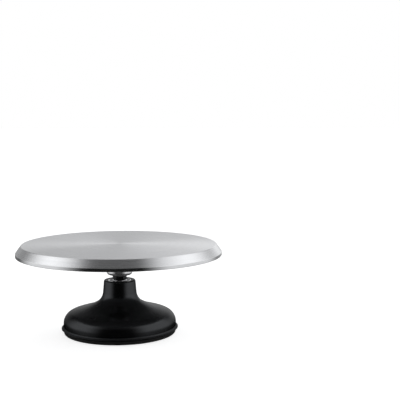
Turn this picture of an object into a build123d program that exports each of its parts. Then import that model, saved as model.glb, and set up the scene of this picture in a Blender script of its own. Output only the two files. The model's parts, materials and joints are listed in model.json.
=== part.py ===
from build123d import *
import math
import os

# A revolving cake turntable. Millimetres, +Z up, the turning axis is Z and the foot stands on Z = 0.

# Platter: a turned aluminium disc with a bevelled, hollow rim.
PLATTER_RADIUS = 152.4          # 12 inch disc
OVERALL_HEIGHT = 133.0
BEVEL_WIDTH = 8.0
BEVEL_HEIGHT = 11.2
RIM_BAND_HEIGHT = 4.7
PLATTER_THICKNESS = 4.0
RIM_WALL = 5.0
EDGE_BREAK = 0.4
CENTRE_BOSS_RADIUS = 40.0
CENTRE_BOSS_THICKNESS = 7.0
STIFFENER_RADIUS = 96.0         # low turned ring under the disc
STIFFENER_WIDTH = 5.0
STIFFENER_DEPTH = 2.0
CENTRE_MARK_RADIUS = 1.2        # lathe centre in the top face
CENTRE_MARK_DEPTH = 0.7

# Hub: a turned boss screwed under the disc, with the spindle threaded into it.
HUB_RADIUS = 19.0
HUB_FOOT_RADIUS = 10.6
HUB_CONE_RISE = 1.5
HUB_ROUND = 4.0
HUB_FLANGE_RADIUS = 36.0
HUB_FLANGE_THICKNESS = 4.5
HUB_FLARE = 5.0
SPIGOT_RADIUS = 12.0
SPIGOT_HEIGHT = 2.0
HUB_SCREW_CIRCLE_RADIUS = 29.0
HUB_SCREW_COUNT = 4
HUB_SCREW_RADIUS = 2.5          # M5
HUB_SCREW_LENGTH = 9.0
HUB_SCREW_HEAD_RADIUS = 4.6
HUB_SCREW_HEAD_HEIGHT = 3.2

# Spindle and its M12 thin lock nut.
JOURNAL_RADIUS = 7.47           # runs in the 15 mm bearing bore
STUD_RADIUS = 6.0               # M12
STUD_DEPTH_IN_HUB = 20.0
SPINDLE_BOTTOM = 24.0
NUT_ACROSS_FLATS = 18.0
NUT_HEIGHT = 6.0
COLLAR_RADIUS = 9.3             # rests on the upper bearing's inner ring
COLLAR_HEIGHT = 0.7

# 6202 deep groove ball bearings, 15 x 35 x 11, one at each end of the neck.
BEARING_BORE_RADIUS = 7.5
BEARING_OUTER_RADIUS = 17.5
BEARING_WIDTH = 11.0
BALL_RADIUS = 5.953 / 2
BALL_PITCH_RADIUS = 12.5
BALL_COUNT = 8
RACE_GROOVE_RADIUS = 3.1
INNER_RING_RADIUS = 10.85
OUTER_RING_BORE_RADIUS = 14.7
RING_CHAMFER = 0.5
SHIELD_SEAT_RADIUS = 15.5
SHIELD_INNER_RADIUS = 11.1
SHIELD_SEAT_DEPTH = 1.4
SHIELD_THICKNESS = 0.4
SHIELD_DISH = 0.6
CAGE_HALF_WIDTH = 3.5
CAGE_HALF_THICKNESS = 1.0
CAGE_POCKET_RADIUS = 3.06
SPACER_RADIUS = 9.6

# Base: a hollow cast bell with a tall neck.
NECK_TOP = 78.8
NECK_TOP_RADIUS = 23.6
NECK_FOOT_RADIUS = 25.1
NECK_FOOT_HEIGHT = 59.6
NECK_EDGE_ROUND = 2.0
BORE_CHAMFER = 1.1
BEARING_RECESS = 0.6            # the upper bearing sits this far below the neck's top
LOWER_BEARING_BOTTOM = 30.0
BEARING_SHOULDER_RADIUS = 14.6
BEARING_TUBE_RADIUS = 23.5
BEARING_TUBE_BOTTOM = 26.0
RETAINER_GROOVE_RADIUS = 18.5
RETAINER_GROOVE_WIDTH = 1.6
SKIRT_RADIUS = 83.7
SKIRT_TOP = 15.5
LIP_RADIUS = 86.8               # a thin flared edge round the bell's foot
LIP_BOTTOM = 7.0
LIP_TOP = 7.9
LIP_BLEND_TOP = 10.2
BELL_CURVE = ((SKIRT_RADIUS, SKIRT_TOP), (72.1, 31.6), (57.4, 36.0), (34.9, 45.1),
              (NECK_FOOT_RADIUS, NECK_FOOT_HEIGHT))
BELL_WALL = 5.0
PLATE_SHOULDER_RADIUS = 75.0
PLATE_SHOULDER_TOP = 9.5
RIB_COUNT = 4
RIB_THICKNESS = 4.0
RIB_OUTER_BOTTOM = 14.0
RIB_INNER_BOTTOM = 30.0
BOSS_RADIUS = 5.0
BOSS_CIRCLE_RADIUS = 66.0
PLATE_SCREW_COUNT = 4
PLATE_SCREW_RADIUS = 2.0        # M4
PLATE_SCREW_LENGTH = 12.0
PLATE_SCREW_HEAD_RADIUS = 3.8
PLATE_SCREW_HEAD_HEIGHT = 2.4

# Bottom cover and rubber foot.
PLATE_RADIUS = 77.8
PLATE_THICKNESS = 1.6
PLATE_STEP_RADIUS = 46.0
PLATE_STEP_HEIGHT = 2.0
PLATE_STEP_WIDTH = 3.0
FOOT_HEIGHT = 5.6
FOOT_INNER_RADIUS = 71.0
FOOT_BOTTOM_RADIUS = 83.0
FOOT_TOP_RADIUS = 84.0
FOOT_SEAT_RADIUS = 81.5
FOOT_EDGE_BREAK = 0.8
GRIP_GROOVE_RADII = (74.5, 77.5, 80.5)
GRIP_GROOVE_WIDTH = 1.2
GRIP_GROOVE_DEPTH = 0.9

# Heights that follow from the above.
RIM_TOP = OVERALL_HEIGHT - BEVEL_HEIGHT
RIM_BOTTOM = RIM_TOP - RIM_BAND_HEIGHT
DISC_UNDERSIDE = OVERALL_HEIGHT - PLATTER_THICKNESS
BOSS_UNDERSIDE = OVERALL_HEIGHT - CENTRE_BOSS_THICKNESS
UPPER_BEARING_TOP = NECK_TOP - BEARING_RECESS
UPPER_BEARING_BOTTOM = UPPER_BEARING_TOP - BEARING_WIDTH
LOWER_BEARING_TOP = LOWER_BEARING_BOTTOM + BEARING_WIDTH
NUT_BOTTOM = UPPER_BEARING_TOP + COLLAR_HEIGHT
HUB_BOTTOM = NUT_BOTTOM + NUT_HEIGHT
FLANGE_BOTTOM = BOSS_UNDERSIDE - HUB_FLANGE_THICKNESS


def turned(*edges):
    """A solid of revolution about Z from the edges of a closed outline in the XZ plane."""
    return revolve(make_face(edges), Axis.Z)


def turned_polygon(*corners):
    """A solid of revolution about Z from (radius, height) corners."""
    return turned(*Polyline(*[(radius, 0, height) for radius, height in corners], close=True).edges())


def path(*corners):
    """Straight edges through (radius, height) corners, left open."""
    return Polyline(*[(radius, 0, height) for radius, height in corners]).edges()


def cylinder(radius, bottom, top):
    """An upright cylinder on Z."""
    return Pos(0, 0, bottom) * extrude(Circle(radius), top - bottom)


def chamfered_ring(inner, outer, bottom, top, edge):
    """A ring about Z with all four edges broken."""
    return turned_polygon(
        (inner, bottom + edge), (inner + edge, bottom), (outer - edge, bottom), (outer, bottom + edge),
        (outer, top - edge), (outer - edge, top), (inner + edge, top), (inner, top - edge))


def around(count, radius, shape, first_angle=0.0):
    """Copies of a shape spaced evenly on a circle about Z."""
    return [Rot(0, 0, first_angle + 360 / count * index) * Pos(radius, 0, 0) * shape
            for index in range(count)]


def pan_head_screw(radius, length, head_radius, head_height, seat):
    """A cross-recessed screw driven upwards, its head below the seat height."""
    crown = head_height / 3
    head = turned(
        *path((0, seat), (head_radius, seat), (head_radius, seat - head_height + crown)),
        ThreePointArc((head_radius, 0, seat - head_height + crown),
                      (head_radius * 0.7, 0, seat - head_height + crown * 0.35),
                      (0, 0, seat - head_height)),
        *path((0, seat - head_height), (0, seat)))
    shank = cylinder(radius, seat, seat + length - radius / 2)
    point = Pos(0, 0, seat + length - radius / 4) * Cone(radius, radius / 2, radius / 2)
    slot = Box(head_radius * 1.1, head_radius * 0.25, head_height)
    recess = Pos(0, 0, seat - head_height) * (slot + Rot(0, 0, 90) * slot)
    return head + shank + point - recess


def platter_disc():
    """The disc: flat top, conical bevel, upright band, and a hollow underside with a centre boss."""
    wall_inner = PLATTER_RADIUS - RIM_WALL
    bevel_length = math.hypot(BEVEL_WIDTH, BEVEL_HEIGHT)
    slope = BEVEL_HEIGHT / BEVEL_WIDTH
    # The bevel's inner face is the outer one moved in by the plate's thickness.
    inner_offset = PLATTER_THICKNESS * bevel_length / BEVEL_WIDTH
    inner_bevel_bottom = RIM_TOP + (PLATTER_RADIUS - wall_inner) * slope - inner_offset
    inner_bevel_top_radius = wall_inner - (DISC_UNDERSIDE - inner_bevel_bottom) / slope
    ring_outer = STIFFENER_RADIUS + STIFFENER_WIDTH / 2
    ring_inner = STIFFENER_RADIUS - STIFFENER_WIDTH / 2
    ring_bottom = DISC_UNDERSIDE - STIFFENER_DEPTH
    recess_top = BOSS_UNDERSIDE + SPIGOT_HEIGHT + 0.2
    disc = turned_polygon(
        (0, OVERALL_HEIGHT - CENTRE_MARK_DEPTH),
        (CENTRE_MARK_RADIUS, OVERALL_HEIGHT),
        (PLATTER_RADIUS - BEVEL_WIDTH - EDGE_BREAK, OVERALL_HEIGHT),
        (PLATTER_RADIUS - BEVEL_WIDTH + EDGE_BREAK / 2, OVERALL_HEIGHT - EDGE_BREAK),
        (PLATTER_RADIUS - EDGE_BREAK / 2, RIM_TOP + EDGE_BREAK / 2),
        (PLATTER_RADIUS, RIM_TOP - EDGE_BREAK / 2),
        (PLATTER_RADIUS, RIM_BOTTOM + EDGE_BREAK),
        (PLATTER_RADIUS - EDGE_BREAK, RIM_BOTTOM),
        (wall_inner + EDGE_BREAK, RIM_BOTTOM),
        (wall_inner, RIM_BOTTOM + EDGE_BREAK),
        (wall_inner, inner_bevel_bottom),
        (inner_bevel_top_radius, DISC_UNDERSIDE),
        (ring_outer + STIFFENER_DEPTH, DISC_UNDERSIDE),
        (ring_outer, ring_bottom),
        (ring_inner, ring_bottom),
        (ring_inner - STIFFENER_DEPTH, DISC_UNDERSIDE),
        (CENTRE_BOSS_RADIUS + STIFFENER_DEPTH, DISC_UNDERSIDE),
        (CENTRE_BOSS_RADIUS, BOSS_UNDERSIDE),
        (SPIGOT_RADIUS + 0.05, BOSS_UNDERSIDE),
        (SPIGOT_RADIUS + 0.05, recess_top),
        (0, recess_top))
    hole_depth = HUB_SCREW_LENGTH - HUB_FLANGE_THICKNESS + 0.5
    hole = cylinder(HUB_SCREW_RADIUS, BOSS_UNDERSIDE - 1, BOSS_UNDERSIDE + hole_depth)
    return disc - around(HUB_SCREW_COUNT, HUB_SCREW_CIRCLE_RADIUS, hole, 45)


def platter_hub():
    """The hub: a bowl-ended boss that flares into a flange, with a blind threaded hole."""
    cone_radius = HUB_RADIUS - HUB_ROUND
    cone_height = HUB_BOTTOM + HUB_CONE_RISE
    round_middle = (HUB_RADIUS - HUB_ROUND * 0.25, 0, cone_height + HUB_ROUND * 0.36)
    flare_middle = (HUB_RADIUS + HUB_FLARE * 0.29, 0, FLANGE_BOTTOM - HUB_FLARE * 0.29)
    hole_radius = STUD_RADIUS + 0.05
    hole_top = HUB_BOTTOM + STUD_DEPTH_IN_HUB + 2
    hub = turned(
        *path((hole_radius, HUB_BOTTOM), (HUB_FOOT_RADIUS, HUB_BOTTOM), (cone_radius, cone_height)),
        ThreePointArc((cone_radius, 0, cone_height), round_middle,
                      (HUB_RADIUS, 0, cone_height + HUB_ROUND)),
        *path((HUB_RADIUS, cone_height + HUB_ROUND), (HUB_RADIUS, FLANGE_BOTTOM - HUB_FLARE)),
        ThreePointArc((HUB_RADIUS, 0, FLANGE_BOTTOM - HUB_FLARE), flare_middle,
                      (HUB_RADIUS + HUB_FLARE, 0, FLANGE_BOTTOM)),
        *path((HUB_RADIUS + HUB_FLARE, FLANGE_BOTTOM),
              (HUB_FLANGE_RADIUS - RING_CHAMFER, FLANGE_BOTTOM),
              (HUB_FLANGE_RADIUS, FLANGE_BOTTOM + RING_CHAMFER),
              (HUB_FLANGE_RADIUS, BOSS_UNDERSIDE),
              (SPIGOT_RADIUS, BOSS_UNDERSIDE),
              (SPIGOT_RADIUS, BOSS_UNDERSIDE + SPIGOT_HEIGHT),
              (0, BOSS_UNDERSIDE + SPIGOT_HEIGHT),
              (0, hole_top),
              (hole_radius, hole_top),
              (hole_radius, HUB_BOTTOM)))
    hole = cylinder(HUB_SCREW_RADIUS + 0.2, FLANGE_BOTTOM - 1, BOSS_UNDERSIDE + 1)
    return hub - around(HUB_SCREW_COUNT, HUB_SCREW_CIRCLE_RADIUS, hole, 45)


def hub_screws():
    """M5 screws that hold the hub's flange to the disc."""
    screw = pan_head_screw(HUB_SCREW_RADIUS - 0.05, HUB_SCREW_LENGTH, HUB_SCREW_HEAD_RADIUS,
                           HUB_SCREW_HEAD_HEIGHT, FLANGE_BOTTOM)
    return Compound(children=around(HUB_SCREW_COUNT, HUB_SCREW_CIRCLE_RADIUS, screw, 45))


def spindle():
    """The spindle: a ground journal, a thin collar, an M12 stud above it and a lead-in cone below."""
    lead_in = 2.0
    stud_top = HUB_BOTTOM + STUD_DEPTH_IN_HUB
    return turned_polygon(
        (0, SPINDLE_BOTTOM + lead_in),
        (lead_in, SPINDLE_BOTTOM),
        (JOURNAL_RADIUS - lead_in, SPINDLE_BOTTOM),
        (JOURNAL_RADIUS, SPINDLE_BOTTOM + lead_in),
        (JOURNAL_RADIUS, UPPER_BEARING_TOP),
        (COLLAR_RADIUS, UPPER_BEARING_TOP),
        (COLLAR_RADIUS, NUT_BOTTOM),
        (STUD_RADIUS, NUT_BOTTOM),
        (STUD_RADIUS, stud_top - 1),
        (STUD_RADIUS - 1, stud_top),
        (0, stud_top))


def spindle_lock_nut():
    """The M12 thin nut, chamfered on both faces, with its corners on the X axis."""
    corner_radius = NUT_ACROSS_FLATS / math.sqrt(3)
    bottom = NUT_BOTTOM
    prism = Pos(0, 0, bottom) * extrude(RegularPolygon(corner_radius, 6), NUT_HEIGHT)
    face_radius = NUT_ACROSS_FLATS / 2 - 0.2
    drop = (corner_radius - face_radius) * math.tan(math.radians(30))
    envelope = turned_polygon(
        (STUD_RADIUS + 0.05, bottom), (face_radius, bottom), (corner_radius, bottom + drop),
        (corner_radius, HUB_BOTTOM - drop), (face_radius, HUB_BOTTOM), (STUD_RADIUS + 0.05, HUB_BOTTOM))
    return prism & envelope


def bearing_outer_ring(bottom):
    """A bearing's outer ring with its ball groove and a seat for a shield at each end."""
    top = bottom + BEARING_WIDTH
    ring = turned_polygon(
        (OUTER_RING_BORE_RADIUS, bottom + SHIELD_SEAT_DEPTH),
        (SHIELD_SEAT_RADIUS, bottom + SHIELD_SEAT_DEPTH),
        (SHIELD_SEAT_RADIUS, bottom),
        (BEARING_OUTER_RADIUS - RING_CHAMFER, bottom),
        (BEARING_OUTER_RADIUS, bottom + RING_CHAMFER),
        (BEARING_OUTER_RADIUS, top - RING_CHAMFER),
        (BEARING_OUTER_RADIUS - RING_CHAMFER, top),
        (SHIELD_SEAT_RADIUS, top),
        (SHIELD_SEAT_RADIUS, top - SHIELD_SEAT_DEPTH),
        (OUTER_RING_BORE_RADIUS, top - SHIELD_SEAT_DEPTH))
    return ring - Pos(0, 0, bottom + BEARING_WIDTH / 2) * Torus(BALL_PITCH_RADIUS, RACE_GROOVE_RADIUS)


def bearing_inner_ring(bottom):
    """A bearing's inner ring with its ball groove."""
    ring = chamfered_ring(BEARING_BORE_RADIUS, INNER_RING_RADIUS, bottom, bottom + BEARING_WIDTH,
                          RING_CHAMFER)
    return ring - Pos(0, 0, bottom + BEARING_WIDTH / 2) * Torus(BALL_PITCH_RADIUS, RACE_GROOVE_RADIUS)


def bearing_balls(bottom):
    """The balls of one bearing."""
    ball = Pos(0, 0, bottom + BEARING_WIDTH / 2) * Sphere(BALL_RADIUS)
    return Compound(children=around(BALL_COUNT, BALL_PITCH_RADIUS, ball))


def bearing_cage(bottom):
    """The one-piece cage that keeps the balls apart."""
    middle = bottom + BEARING_WIDTH / 2
    body = chamfered_ring(BALL_PITCH_RADIUS - CAGE_HALF_THICKNESS, BALL_PITCH_RADIUS + CAGE_HALF_THICKNESS,
                          middle - CAGE_HALF_WIDTH, middle + CAGE_HALF_WIDTH, RING_CHAMFER / 2)
    pocket = Pos(0, 0, middle) * Rot(0, 90, 0) * Cylinder(CAGE_POCKET_RADIUS, CAGE_HALF_THICKNESS * 4)
    return body - around(BALL_COUNT, BALL_PITCH_RADIUS, pocket)


def bearing_shields(bottom):
    """The two dished steel shields of one bearing."""
    step_radius = SHIELD_SEAT_RADIUS - 1.0

    def shield(height, outward):
        face = height + outward * SHIELD_DISH
        back = outward * SHIELD_THICKNESS
        return turned_polygon(
            (SHIELD_SEAT_RADIUS, height), (step_radius + 0.3, height), (step_radius - 0.3, face),
            (SHIELD_INNER_RADIUS, face), (SHIELD_INNER_RADIUS, face + back),
            (step_radius - 0.3, face + back), (step_radius + 0.3, height + back),
            (SHIELD_SEAT_RADIUS, height + back))

    lower = shield(bottom + SHIELD_SEAT_DEPTH, -1)
    upper = shield(bottom + BEARING_WIDTH - SHIELD_SEAT_DEPTH, 1)
    return Compound(children=[lower, upper])


def inner_spacer():
    """The tube that holds the two inner rings apart."""
    return chamfered_ring(BEARING_BORE_RADIUS, SPACER_RADIUS, LOWER_BEARING_TOP, UPPER_BEARING_BOTTOM,
                          RING_CHAMFER / 2)


def bearing_retaining_ring():
    """The internal retaining ring under the lower bearing, open at the front with two eyelets."""
    thickness = RETAINER_GROOVE_WIDTH - 0.1
    bottom = LOWER_BEARING_BOTTOM - thickness
    inner = BEARING_OUTER_RADIUS - 2.0
    body = chamfered_ring(inner, RETAINER_GROOVE_RADIUS - 0.1, bottom, LOWER_BEARING_BOTTOM, 0.15)
    opening = Pos(0, -BEARING_OUTER_RADIUS, bottom) * Box(9, 8, 6)
    eyelet = cylinder(1.9, bottom, LOWER_BEARING_BOTTOM)
    eyelet_hole = cylinder(0.9, bottom - 1, LOWER_BEARING_BOTTOM + 1)
    ring = body - opening
    for side in (-1, 1):
        place = Rot(0, 0, -90 + 19 * side) * Pos(inner + 0.2, 0, 0)
        ring = ring + place * eyelet - place * eyelet_hole
    return ring


def tangent_arcs(points):
    """Arcs through (radius, height) points: the first leaves upright, each next one follows on."""
    arcs = []
    direction = Vector(0, 0, 1)
    for (start_radius, start_height), (end_radius, end_height) in zip(points, points[1:]):
        arc = TangentArc((start_radius, 0, start_height), (end_radius, 0, end_height), tangent=direction)
        direction = arc % 1
        arcs.append(arc)
    return arcs


def bell_outline_solid():
    """The bell and neck's outside, as one solid with no hollow."""
    lip_start = (LIP_RADIUS - 0.5, 0, LIP_BOTTOM)
    lip_end = (LIP_RADIUS - 0.4, 0, LIP_TOP)
    blend_end = (SKIRT_RADIUS + 0.2, 0, LIP_BLEND_TOP)
    neck_foot = (NECK_FOOT_RADIUS, 0, NECK_FOOT_HEIGHT)
    neck_end = (NECK_TOP_RADIUS, 0, NECK_TOP - NECK_EDGE_ROUND)
    edge_middle = NECK_EDGE_ROUND * (1 - math.sqrt(0.5))
    return turned(
        *path((0, FOOT_HEIGHT), (FOOT_SEAT_RADIUS, FOOT_HEIGHT), (FOOT_SEAT_RADIUS, LIP_BOTTOM),
              (LIP_RADIUS - 0.5, LIP_BOTTOM)),
        ThreePointArc(lip_start, (LIP_RADIUS, 0, (LIP_BOTTOM + LIP_TOP) / 2), lip_end),
        ThreePointArc(lip_end, (SKIRT_RADIUS + 1.05, 0, LIP_TOP + 0.75), blend_end),
        Line(blend_end, (SKIRT_RADIUS, 0, SKIRT_TOP)),
        *tangent_arcs(BELL_CURVE),
        Line(neck_foot, neck_end),
        ThreePointArc(neck_end, (NECK_TOP_RADIUS - edge_middle, 0, NECK_TOP - edge_middle),
                      (NECK_TOP_RADIUS - NECK_EDGE_ROUND, 0, NECK_TOP)),
        *path((NECK_TOP_RADIUS - NECK_EDGE_ROUND, NECK_TOP), (0, NECK_TOP), (0, FOOT_HEIGHT)))


def bell_cavity():
    """The hollow under the bell, around the bearing tube; its ceiling follows the bell's outside."""
    wall = SKIRT_RADIUS - BELL_WALL
    inner_curve = [(wall, SKIRT_TOP)]
    for arc in tangent_arcs(BELL_CURVE[:-1]):
        end = arc @ 1
        direction = arc % 1
        inner_curve.append((end.X - BELL_WALL * direction.Z, end.Z + BELL_WALL * direction.X))
    ceiling_end = inner_curve[-1]
    tube_top = ceiling_end[1] - 3.0
    corner_middle = ((ceiling_end[0] + BEARING_TUBE_RADIUS) / 2 - 1.5, 0, ceiling_end[1] + 0.8)
    plate_top = FOOT_HEIGHT + PLATE_THICKNESS
    return turned(
        *path((0, FOOT_HEIGHT - 1), (PLATE_RADIUS + 0.2, FOOT_HEIGHT - 1),
              (PLATE_RADIUS + 0.2, plate_top), (PLATE_SHOULDER_RADIUS, plate_top),
              (PLATE_SHOULDER_RADIUS, PLATE_SHOULDER_TOP),
              (wall, PLATE_SHOULDER_TOP + wall - PLATE_SHOULDER_RADIUS), (wall, SKIRT_TOP)),
        *tangent_arcs(inner_curve),
        ThreePointArc((ceiling_end[0], 0, ceiling_end[1]), corner_middle,
                      (BEARING_TUBE_RADIUS, 0, tube_top)),
        *path((BEARING_TUBE_RADIUS, tube_top), (BEARING_TUBE_RADIUS, BEARING_TUBE_BOTTOM),
              (0, BEARING_TUBE_BOTTOM), (0, FOOT_HEIGHT - 1)))


def neck_bore():
    """The stepped bore: two bearing seats, a shoulder between them and the retaining ring's groove."""
    return turned_polygon(
        (0, BEARING_TUBE_BOTTOM - 1), (BEARING_OUTER_RADIUS, BEARING_TUBE_BOTTOM - 1),
        (BEARING_OUTER_RADIUS, LOWER_BEARING_BOTTOM - RETAINER_GROOVE_WIDTH),
        (RETAINER_GROOVE_RADIUS, LOWER_BEARING_BOTTOM - RETAINER_GROOVE_WIDTH),
        (RETAINER_GROOVE_RADIUS, LOWER_BEARING_BOTTOM),
        (BEARING_OUTER_RADIUS, LOWER_BEARING_BOTTOM),
        (BEARING_OUTER_RADIUS, LOWER_BEARING_TOP),
        (BEARING_SHOULDER_RADIUS, LOWER_BEARING_TOP),
        (BEARING_SHOULDER_RADIUS, UPPER_BEARING_BOTTOM),
        (BEARING_OUTER_RADIUS, UPPER_BEARING_BOTTOM),
        (BEARING_OUTER_RADIUS, NECK_TOP - BORE_CHAMFER),
        (BEARING_OUTER_RADIUS + BORE_CHAMFER, NECK_TOP),
        (BEARING_OUTER_RADIUS + BORE_CHAMFER, NECK_TOP + 1),
        (0, NECK_TOP + 1))


def base_housing():
    """The cast bell: shell, bearing tube, ribs and screw bosses."""
    rib_length = SKIRT_RADIUS - BEARING_TUBE_RADIUS
    rib_middle = (SKIRT_RADIUS + BEARING_TUBE_RADIUS) / 2
    rib = Box(rib_length, RIB_THICKNESS, NECK_TOP, align=(Align.CENTER, Align.CENTER, Align.MIN))
    below_ribs = turned_polygon((0, -1), (SKIRT_RADIUS + 1, -1), (SKIRT_RADIUS + 1, RIB_OUTER_BOTTOM),
                                (BEARING_TUBE_RADIUS - 1, RIB_INNER_BOTTOM), (0, RIB_INNER_BOTTOM))
    boss = cylinder(BOSS_RADIUS, FOOT_HEIGHT + PLATE_THICKNESS, NECK_TOP)
    hole = cylinder(PLATE_SCREW_RADIUS, FOOT_HEIGHT, FOOT_HEIGHT + PLATE_SCREW_LENGTH + 1)
    ribs = [blade - below_ribs for blade in around(RIB_COUNT, rib_middle, rib, 45)]
    bosses = around(PLATE_SCREW_COUNT, BOSS_CIRCLE_RADIUS, boss)
    hollow = bell_cavity() - ribs - bosses
    holes = around(PLATE_SCREW_COUNT, BOSS_CIRCLE_RADIUS, hole)
    return bell_outline_solid() - hollow - neck_bore() - holes


def bottom_plate():
    """The pressed steel cover, stepped up in the middle, with a hole for each screw."""
    low = FOOT_HEIGHT
    high = low + PLATE_THICKNESS
    step_end = PLATE_STEP_RADIUS + PLATE_STEP_WIDTH
    plate = turned_polygon(
        (0, low + PLATE_STEP_HEIGHT), (PLATE_STEP_RADIUS, low + PLATE_STEP_HEIGHT), (step_end, low),
        (PLATE_RADIUS, low), (PLATE_RADIUS, high), (step_end, high),
        (PLATE_STEP_RADIUS, high + PLATE_STEP_HEIGHT), (0, high + PLATE_STEP_HEIGHT))
    hole = cylinder(PLATE_SCREW_RADIUS + 0.2, low - 1, high + 1)
    return plate - around(PLATE_SCREW_COUNT, BOSS_CIRCLE_RADIUS, hole)


def bottom_plate_screws():
    """M4 screws that hold the cover to the bell's bosses."""
    screw = pan_head_screw(PLATE_SCREW_RADIUS - 0.05, PLATE_SCREW_LENGTH, PLATE_SCREW_HEAD_RADIUS,
                           PLATE_SCREW_HEAD_HEIGHT, FOOT_HEIGHT)
    return Compound(children=around(PLATE_SCREW_COUNT, BOSS_CIRCLE_RADIUS, screw))


def foot_ring():
    """The rubber foot, with grip grooves in the face that meets the table."""
    ring = turned_polygon(
        (FOOT_INNER_RADIUS, FOOT_EDGE_BREAK), (FOOT_INNER_RADIUS + FOOT_EDGE_BREAK, 0),
        (FOOT_BOTTOM_RADIUS - FOOT_EDGE_BREAK, 0), (FOOT_BOTTOM_RADIUS, FOOT_EDGE_BREAK),
        (FOOT_TOP_RADIUS, FOOT_HEIGHT - FOOT_EDGE_BREAK),
        (FOOT_TOP_RADIUS - FOOT_EDGE_BREAK, FOOT_HEIGHT), (FOOT_INNER_RADIUS, FOOT_HEIGHT))
    for radius in GRIP_GROOVE_RADII:
        ring = ring - chamfered_ring(radius - GRIP_GROOVE_WIDTH / 2, radius + GRIP_GROOVE_WIDTH / 2,
                                     -GRIP_GROOVE_DEPTH, GRIP_GROOVE_DEPTH, 0.2)
    return ring


nodes = {
    "base_housing": base_housing(),
    "bottom_plate": bottom_plate(),
    "bottom_plate_screws": bottom_plate_screws(),
    "foot_ring": foot_ring(),
    "bearing_retaining_ring": bearing_retaining_ring(),
    "inner_spacer": inner_spacer(),
    "spindle": spindle(),
    "spindle_lock_nut": spindle_lock_nut(),
    "platter_hub": platter_hub(),
    "hub_screws": hub_screws(),
    "platter_disc": platter_disc(),
}
for place, bearing_bottom in (("upper", UPPER_BEARING_BOTTOM), ("lower", LOWER_BEARING_BOTTOM)):
    nodes[f"{place}_bearing_outer_ring"] = bearing_outer_ring(bearing_bottom)
    nodes[f"{place}_bearing_inner_ring"] = bearing_inner_ring(bearing_bottom)
    nodes[f"{place}_bearing_balls"] = bearing_balls(bearing_bottom)
    nodes[f"{place}_bearing_cage"] = bearing_cage(bearing_bottom)
    nodes[f"{place}_bearing_shields"] = bearing_shields(bearing_bottom)

os.makedirs("parts", exist_ok=True)
for name, shape in nodes.items():
    export_step(shape, f"parts/{name}.step")
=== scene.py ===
import json
import math

import bpy
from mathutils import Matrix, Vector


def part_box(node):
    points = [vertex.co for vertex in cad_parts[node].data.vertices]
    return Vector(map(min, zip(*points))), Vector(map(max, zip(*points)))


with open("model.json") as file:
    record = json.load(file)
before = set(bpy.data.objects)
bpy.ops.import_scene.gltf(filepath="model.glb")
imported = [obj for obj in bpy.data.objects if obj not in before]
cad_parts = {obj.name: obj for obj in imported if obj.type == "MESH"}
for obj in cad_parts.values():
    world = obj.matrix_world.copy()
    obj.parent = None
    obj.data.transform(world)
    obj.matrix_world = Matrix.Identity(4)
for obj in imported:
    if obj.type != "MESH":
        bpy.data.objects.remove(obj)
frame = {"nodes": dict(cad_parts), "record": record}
bpy.context.view_layer.update()

MM = 0.001
DISC_LOW, DISC_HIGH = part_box("platter_disc")


# ---------------------------------------------------------------- camera, light and floor

CAMERA_DISTANCE = 1.2892
CAMERA_HEIGHT = 0.3222
CAMERA_YAW = 0.0932          # turned right, so that the object stands left of the middle
CAMERA_PITCH = 0.0965        # tilted down
CAMERA_CLIP = 50.0
LENS_MM = 78.37
SENSOR_MM = 36.0

# Where the studio's lights are, in degrees: where each starts, is full, begins to fade and ends.
# Azimuth 0 is the front and +90 the right; height 0 is the horizon.
LEFT_PANEL = (-145, -106, -78, -36)
RIGHT_PANEL = (22, 62, 110, 145)
PANEL_HEIGHT = (-34, 2, 42, 70)
HORIZON_HEIGHT = (-22, 7, 11, 26)
BACK_WALL_HEIGHT = (0, 20, 40, 80)
OVERHEAD_HEIGHT = (25, 50, 80, 100)
# These have one soft edge: where each starts and where it is full.
BEHIND_AZIMUTH = (115, 160)
CEILING_HEIGHT = (28, 50)
CEILING_BACK = (-0.1, 0.45)  # how far the direction points to the back
BELOW_HEIGHT = (-30, -60)

LEFT_LIGHT = 1.0
RIGHT_LIGHT = 0.98
HORIZON_LIGHT = (0.36, 0.9)  # at the left and at the right
BACK_WALL_LIGHT = (0.06, 0.42)
LEFT_TO_RIGHT = (-0.5, 0.5)  # the x of the direction, over which those two change
CEILING_LIGHT = 0.55
OVERHEAD_LIGHT = 0.1
BELOW_LIGHT = 0.3
AMBIENT_LIGHT = 0.005        # from everywhere, the front included
STUDIO_WHITE = (0.985, 0.99, 1.0, 1)
WHITE = (1, 1, 1, 1)

FLOOR_HALF = 20.0
FLOOR_GLOW = 0.72
SHADOW_START = 0.088         # the disc's shadow on the floor, as radii from the turning axis
SHADOW_END = 0.30
SHADOW_SHARE = 0.005         # of the light, left in the middle of the shadow


def make_camera():
    data = bpy.data.cameras.new("camera")
    data.sensor_width = SENSOR_MM
    data.lens = LENS_MM
    data.clip_end = CAMERA_CLIP
    camera = bpy.data.objects.new("camera", data)
    camera.location = (0, -CAMERA_DISTANCE, CAMERA_HEIGHT)
    camera.rotation_euler = (math.pi / 2 - CAMERA_PITCH, 0, -CAMERA_YAW)
    bpy.context.scene.collection.objects.link(camera)
    bpy.context.scene.camera = camera


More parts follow.
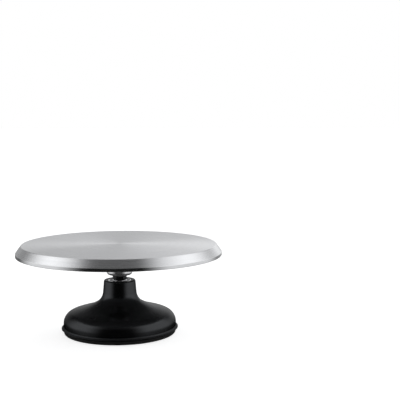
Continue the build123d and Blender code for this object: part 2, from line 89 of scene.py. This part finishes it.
class Nodes:
    """Short calls that add shader nodes to one tree."""

    def __init__(self, tree):
        self.tree = tree
        self.output = None
        tree.nodes.clear()

    def add(self, kind, **settings):
        node = self.tree.nodes.new(kind)
        for name, value in settings.items():
            setattr(node, name, value)
        return node

    def link(self, source, target):
        self.tree.links.new(source, target)

    def put(self, socket, value):
        """Gives a socket a fixed value or links another socket to it."""
        if isinstance(value, bpy.types.NodeSocket):
            self.link(value, socket)
        else:
            socket.default_value = value

    def math(self, operation, *values):
        node = self.add("ShaderNodeMath", operation=operation)
        for socket, value in zip(node.inputs, values):
            self.put(socket, value)
        return node.outputs[0]

    def product(self, *values):
        result = values[0]
        for value in values[1:]:
            result = self.math("MULTIPLY", result, value)
        return result

    def total(self, *values):
        result = values[0]
        for value in values[1:]:
            result = self.math("ADD", result, value)
        return result

    def smooth(self, value, low, high, to_low=0.0, to_high=1.0):
        """A smooth ramp from to_low at low to to_high at high; low may be the larger of the two."""
        node = self.add("ShaderNodeMapRange", interpolation_type="SMOOTHSTEP")
        node.inputs["From Min"].default_value = low
        node.inputs["From Max"].default_value = high
        node.inputs["To Min"].default_value = to_low
        node.inputs["To Max"].default_value = to_high
        self.put(node.inputs["Value"], value)
        return node.outputs[0]

    def window(self, value, start, full, fading, end):
        """A smooth window: 0 outside start and end, 1 from full to fading."""
        return self.product(self.smooth(value, start, full), self.smooth(value, end, fading))

    def mix_shaders(self, factor, first, second):
        node = self.add("ShaderNodeMixShader")
        self.link(factor, node.inputs[0])
        self.link(first.outputs[0], node.inputs[1])
        self.link(second.outputs[0], node.inputs[2])
        return node

    def background(self, colour):
        node = self.add("ShaderNodeBackground")
        node.inputs["Color"].default_value = colour
        return node


def make_light():
    """A white studio seen as its reflections: soft panels left and right, a glow behind, a dark front."""
    world = bpy.data.worlds.new("studio")
    bpy.context.scene.world = world
    world.use_nodes = True
    n = Nodes(world.node_tree)
    direction = n.add("ShaderNodeSeparateXYZ")
    n.link(n.add("ShaderNodeTexCoord").outputs["Generated"], direction.inputs[0])
    x, y, z = direction.outputs
    azimuth = n.math("DEGREES", n.math("ARCTAN2", x, n.math("MULTIPLY", y, -1.0)))
    height = n.math("DEGREES", n.math("ARCSINE", z))

    panel_height = n.window(height, *PANEL_HEIGHT)
    left = n.product(n.window(azimuth, *LEFT_PANEL), panel_height)
    right = n.product(n.window(azimuth, *RIGHT_PANEL), panel_height)
    behind = n.smooth(n.math("ABSOLUTE", azimuth), *BEHIND_AZIMUTH)
    horizon = n.product(behind, n.window(height, *HORIZON_HEIGHT),
                        n.smooth(x, *LEFT_TO_RIGHT, *HORIZON_LIGHT))
    back_wall = n.product(behind, n.window(height, *BACK_WALL_HEIGHT),
                          n.smooth(x, *LEFT_TO_RIGHT, *BACK_WALL_LIGHT))
    ceiling = n.product(n.smooth(y, *CEILING_BACK), n.smooth(height, *CEILING_HEIGHT))
    overhead = n.window(height, *OVERHEAD_HEIGHT)
    below = n.smooth(height, *BELOW_HEIGHT)
    strength = n.total(n.product(left, LEFT_LIGHT), n.product(right, RIGHT_LIGHT), horizon, back_wall,
                       n.product(ceiling, CEILING_LIGHT), n.product(overhead, OVERHEAD_LIGHT),
                       n.product(below, BELOW_LIGHT), AMBIENT_LIGHT)

    studio = n.background(STUDIO_WHITE)
    n.link(strength, studio.inputs["Strength"])
    backdrop = n.background(WHITE)
    seen = n.mix_shaders(n.add("ShaderNodeLightPath").outputs["Is Camera Ray"], studio, backdrop)
    n.link(seen.outputs[0], n.add("ShaderNodeOutputWorld").inputs[0])


def make_floor():
    half = FLOOR_HALF
    mesh = bpy.data.meshes.new("floor")
    mesh.from_pydata([(-half, -half, 0), (half, -half, 0), (half, half, 0), (-half, half, 0)], [],
                     [(0, 1, 2, 3)])
    floor = bpy.data.objects.new("floor", mesh)
    bpy.context.scene.collection.objects.link(floor)
    material, n, shader = new_material("floor_white", (0.9, 0.9, 0.9), 0.9, Specular_IOR_Level=0.0,
                                       Emission_Color=WHITE, Emission_Strength=FLOOR_GLOW)
    # In reflections the floor is the studio's lower half, dark in the disc's shadow round the foot.
    reflected = n.add("ShaderNodeBsdfTransparent")
    shade = n.add("ShaderNodeCombineColor")
    radius = polar(n)[0]
    for socket in shade.inputs:
        n.link(n.smooth(radius, SHADOW_START, SHADOW_END, SHADOW_SHARE, 1.0), socket)
    n.link(shade.outputs[0], reflected.inputs["Color"])
    seen = n.mix_shaders(n.add("ShaderNodeLightPath").outputs["Is Glossy Ray"], shader, reflected)
    # Seen from below, the floor is clear, so that the underside of the base shows.
    clear = n.add("ShaderNodeBsdfTransparent")
    seen = n.mix_shaders(n.add("ShaderNodeNewGeometry").outputs["Backfacing"], seen, clear)
    n.link(seen.outputs[0], n.output.inputs[0])
    mesh.materials.append(material)


# ---------------------------------------------------------------- materials

DISC_ALUMINIUM = (0.86, 0.865, 0.875)
HUB_ALUMINIUM = (0.94, 0.94, 0.95)
BEARING_STEEL = (0.72, 0.72, 0.73)
SHIELD_STEEL = (0.2, 0.2, 0.205)
SPINDLE_STEEL = (0.66, 0.66, 0.67)
SPACER_STEEL = (0.60, 0.60, 0.61)
BALL_CHROME = (0.78, 0.78, 0.8)
CAGE_STEEL = (0.5, 0.48, 0.44)
SCREW_ZINC = (0.62, 0.63, 0.66)
BELL_COAT = (0.051, 0.0525, 0.055)
COVER_COAT = (0.06, 0.06, 0.06)
COAT_GRAZING = (0.6, 0.6, 0.6, 1)   # the coat's reflections rise only a little towards the edges
RUBBER_BLACK = (0.006, 0.006, 0.006)
OXIDE_BLACK = (0.012, 0.012, 0.013)

BAND_HEIGHT = 4.9 * MM       # the polished band round the disc's rim, with its edge break
BEVEL_WIDTH = 8.0 * MM
BEVEL_SLOPE = 11.2 / 8.0
FACE_MARGIN = 0.5 * MM       # how near a point lies to a face of the disc to belong to it
TOP_MARGIN = 0.15 * MM
TOP_ROUGHNESS = 0.31
BEVEL_ROUGHNESS = 0.28
BAND_ROUGHNESS = 0.13
UNDERSIDE_ROUGHNESS = 0.45

LIP_TOP = 9.6 * MM           # the bell's coat is matt on its lip, below here
LIP_FADE = 1.5 * MM
LIP_MATTNESS = 2.1           # times the roughness above it

ACROSS_GROOVES = 0.25        # of a turn, from the lines to the way reflections stretch
NOISE_RANGE = (0.3, 0.7)     # most of a noise lies between these


def new_material(name, colour, roughness, metallic=0.0, **sockets):
    """A material with a Principled shader; returns it, its node helper and the shader."""
    material = bpy.data.materials.new(name)
    material.use_nodes = True
    n = Nodes(material.node_tree)
    n.output = n.add("ShaderNodeOutputMaterial")
    shader = n.add("ShaderNodeBsdfPrincipled")
    shader.inputs["Base Color"].default_value = (*colour, 1)
    shader.inputs["Roughness"].default_value = roughness
    shader.inputs["Metallic"].default_value = metallic
    for socket, value in sockets.items():
        shader.inputs[socket.replace("_", " ")].default_value = value
    n.link(shader.outputs[0], n.output.inputs[0])
    return material, n, shader


def lathe_material(name, colour, roughness, anisotropy):
    """Metal whose reflections stretch across lines that run round the turning axis."""
    material, n, shader = new_material(name, colour, roughness, 1.0, Anisotropic=anisotropy,
                                       Anisotropic_Rotation=ACROSS_GROOVES)
    tangent = n.add("ShaderNodeTangent", direction_type="RADIAL", axis="Z")
    n.link(tangent.outputs[0], shader.inputs["Tangent"])
    return material, n, shader


def polar(n):
    """Radius and height about the turning axis, and the direction from it as a cosine and a sine."""
    parts = n.add("ShaderNodeSeparateXYZ")
    n.link(n.add("ShaderNodeTexCoord").outputs["Object"], parts.inputs[0])
    x, y, z = parts.outputs
    radius = n.math("SQRT", n.total(n.product(x, x), n.product(y, y)))
    radius = n.math("MAXIMUM", radius, 1e-5)
    return radius, z, n.math("DIVIDE", x, radius), n.math("DIVIDE", y, radius)


def turned_grain(n, spacing, around, detail=3.0):
    """Noise drawn out round the axis: lines that far apart, each changing a few times per turn."""
    radius, height, cosine, sine = polar(n)
    vector = n.add("ShaderNodeCombineXYZ")
    n.link(n.product(cosine, around), vector.inputs[0])
    n.link(n.product(sine, around), vector.inputs[1])
    n.link(n.math("DIVIDE", radius, spacing), vector.inputs[2])
    noise = n.add("ShaderNodeTexNoise", noise_dimensions="4D")
    noise.inputs["Scale"].default_value = 1.0
    noise.inputs["Detail"].default_value = detail
    n.link(vector.outputs[0], noise.inputs["Vector"])
    n.link(n.math("DIVIDE", height, spacing), noise.inputs["W"])
    return noise.outputs[0]


def cloud(n, scale, detail=3.0):
    """Plain noise in object space; scale in features per metre."""
    noise = n.add("ShaderNodeTexNoise")
    noise.inputs["Scale"].default_value = scale
    noise.inputs["Detail"].default_value = detail
    n.link(n.add("ShaderNodeTexCoord").outputs["Object"], noise.inputs["Vector"])
    return noise.outputs[0]


def vary_colour(n, shader, colour, factor, darkest):
    """Darkens the colour by a factor, down to the darkest share of it."""
    tint = n.add("ShaderNodeMix", data_type="RGBA")
    n.link(factor, tint.inputs["Factor"])
    tint.inputs["A"].default_value = (*colour, 1)
    tint.inputs["B"].default_value = (*(channel * darkest for channel in colour), 1)
    n.link(tint.outputs["Result"], shader.inputs["Base Color"])


def bump(n, shader, height, strength, depth):
    """Gives the surface the relief of a height from 0 to 1, that deep."""
    node = n.add("ShaderNodeBump")
    node.inputs["Strength"].default_value = strength
    node.inputs["Distance"].default_value = depth
    n.link(height, node.inputs["Height"])
    n.link(node.outputs[0], shader.inputs["Normal"])


def turned_metal(name, colour, roughness, anisotropy, spacing, around, depth):
    """Turned or ground metal: lines round the axis, that far apart and that deep."""
    material, n, shader = lathe_material(name, colour, roughness, anisotropy)
    fine = turned_grain(n, spacing, around)
    broad = turned_grain(n, spacing * 9, around * 0.6, 2.0)
    grain = n.total(n.product(fine, 0.6), n.product(broad, 0.4))
    n.link(n.smooth(grain, *NOISE_RANGE, roughness * 0.65, roughness * 1.35), shader.inputs["Roughness"])
    vary_colour(n, shader, colour, n.smooth(cloud(n, 28.0), 0.35, 0.7), 0.94)
    bump(n, shader, fine, 0.35, depth)
    return material


def disc_metal(name):
    """The disc's aluminium: lathe-turned all over, with a polished band and a duller underside."""
    material, n, shader = lathe_material(name, DISC_ALUMINIUM, BEVEL_ROUGHNESS, 0.75)
    radius, height = polar(n)[:2]
    on_top = n.math("GREATER_THAN", height, DISC_HIGH[2] - TOP_MARGIN)
    on_band = n.product(n.math("LESS_THAN", height, DISC_LOW[2] + BAND_HEIGHT),
                        n.math("GREATER_THAN", radius, DISC_HIGH[0] - FACE_MARGIN))
    bevel_start = DISC_HIGH[2] + (DISC_HIGH[0] - BEVEL_WIDTH) * BEVEL_SLOPE
    on_bevel = n.math("GREATER_THAN", n.total(height, n.product(radius, BEVEL_SLOPE)),
                      bevel_start - FACE_MARGIN)
    on_outside = n.math("MAXIMUM", n.math("MAXIMUM", on_top, on_band), on_bevel)
    on_underside = n.math("SUBTRACT", 1.0, on_outside)
    zone_roughness = n.total(BEVEL_ROUGHNESS, n.product(on_top, TOP_ROUGHNESS - BEVEL_ROUGHNESS),
                             n.product(on_band, BAND_ROUGHNESS - BEVEL_ROUGHNESS),
                             n.product(on_underside, UNDERSIDE_ROUGHNESS - BEVEL_ROUGHNESS))
    fine = turned_grain(n, 0.22 * MM, 1.5)
    broad = turned_grain(n, 1.6 * MM, 0.8, 2.0)
    grain = n.total(n.product(fine, 0.5), n.product(broad, 0.5))
    n.link(n.product(zone_roughness, n.smooth(grain, *NOISE_RANGE, 0.85, 1.15)), shader.inputs["Roughness"])
    vary_colour(n, shader, DISC_ALUMINIUM, n.smooth(grain, *NOISE_RANGE), 0.95)
    bump(n, shader, fine, 0.3, 0.006 * MM)
    return material


def powder_coat(name, reflectance, roughness, matt_below=None):
    """Satin black coat with a fine orange peel and small differences in gloss.

    It has no colour of its own, only its reflectance, which rises little towards grazing angles."""
    material, n, shader = new_material(name, reflectance, roughness, 1.0, Specular_Tint=COAT_GRAZING)
    gloss = n.smooth(cloud(n, 60.0), *NOISE_RANGE, roughness * 0.92, roughness * 1.1)
    if matt_below is not None:
        height = polar(n)[1]
        gloss = n.product(gloss, n.smooth(height, matt_below + LIP_FADE, matt_below, 1.0, LIP_MATTNESS))
    n.link(gloss, shader.inputs["Roughness"])
    bump(n, shader, cloud(n, 900.0, 4.0), 0.06, 0.12 * MM)
    return material


def moulded_rubber(name):
    material, n, shader = new_material(name, RUBBER_BLACK, 0.62)
    n.link(n.smooth(cloud(n, 150.0), *NOISE_RANGE, 0.52, 0.72), shader.inputs["Roughness"])
    bump(n, shader, cloud(n, 2200.0, 2.0), 0.25, 0.12 * MM)
    return material


def black_oxide(name):
    material, n, shader = new_material(name, OXIDE_BLACK, 0.42, 0.6)
    n.link(n.smooth(cloud(n, 400.0), 0.35, 0.7, 0.34, 0.52), shader.inputs["Roughness"])
    bump(n, shader, cloud(n, 1500.0, 4.0), 0.2, 0.08 * MM)
    return material


def plain_metal(name, colour, roughness, spot=500.0):
    """Polished, pressed or plated metal with spots of unequal gloss, that many to the metre."""
    material, n, shader = new_material(name, colour, roughness, 1.0)
    n.link(n.smooth(cloud(n, spot), *NOISE_RANGE, roughness * 0.75, roughness * 1.3),
           shader.inputs["Roughness"])
    bump(n, shader, cloud(n, spot * 3), 0.15, 0.05 * MM)
    return material


def make_materials():
    """One material for each of the record's material slots."""
    return {
        "platter_aluminium": disc_metal("disc_turned"),
        "hub_aluminium": turned_metal("hub_polished", HUB_ALUMINIUM, 0.3, 0.4, 0.3 * MM, 1.5, 0.004 * MM),
        "base_enamel": powder_coat("bell_powder_coat", BELL_COAT, 0.25, LIP_TOP),
        "cover_steel": powder_coat("cover_coat", COVER_COAT, 0.5),
        "foot_rubber": moulded_rubber("foot_rubber"),
        "nut_black_oxide": black_oxide("nut_black_oxide"),
        "retainer_steel": black_oxide("retainer_phosphate"),
        "bearing_steel": turned_metal("bearing_ground", BEARING_STEEL, 0.16, 0.4, 0.15 * MM, 3.0,
                                      0.005 * MM),
        "shield_steel": turned_metal("shield_pressed", SHIELD_STEEL, 0.36, 0.3, 0.3 * MM, 3.0,
                                     0.01 * MM),
        "spindle_steel": turned_metal("spindle_ground", SPINDLE_STEEL, 0.2, 0.5, 0.12 * MM, 3.0,
                                      0.005 * MM),
        "spacer_steel": turned_metal("spacer_turned", SPACER_STEEL, 0.32, 0.5, 0.25 * MM, 3.0,
                                     0.02 * MM),
        "ball_chrome": plain_metal("ball_polished", BALL_CHROME, 0.06, 900.0),
        "cage_steel": plain_metal("cage_pressed", CAGE_STEEL, 0.34),
        "screw_zinc": plain_metal("screw_zinc", SCREW_ZINC, 0.3),
    }


def dress_cad_nodes(materials):
    """Gives each CAD node the material of its slot in the record."""
    for part in frame["record"]["subparts"]:
        for slot in frame["nodes"][part["node"]].material_slots:
            slot.material = materials[part["material_slot"]]


make_camera()
make_light()
make_floor()
dress_cad_nodes(make_materials())
bpy.context.scene.view_settings.view_transform = "Standard"

bpy.context.view_layer.update()
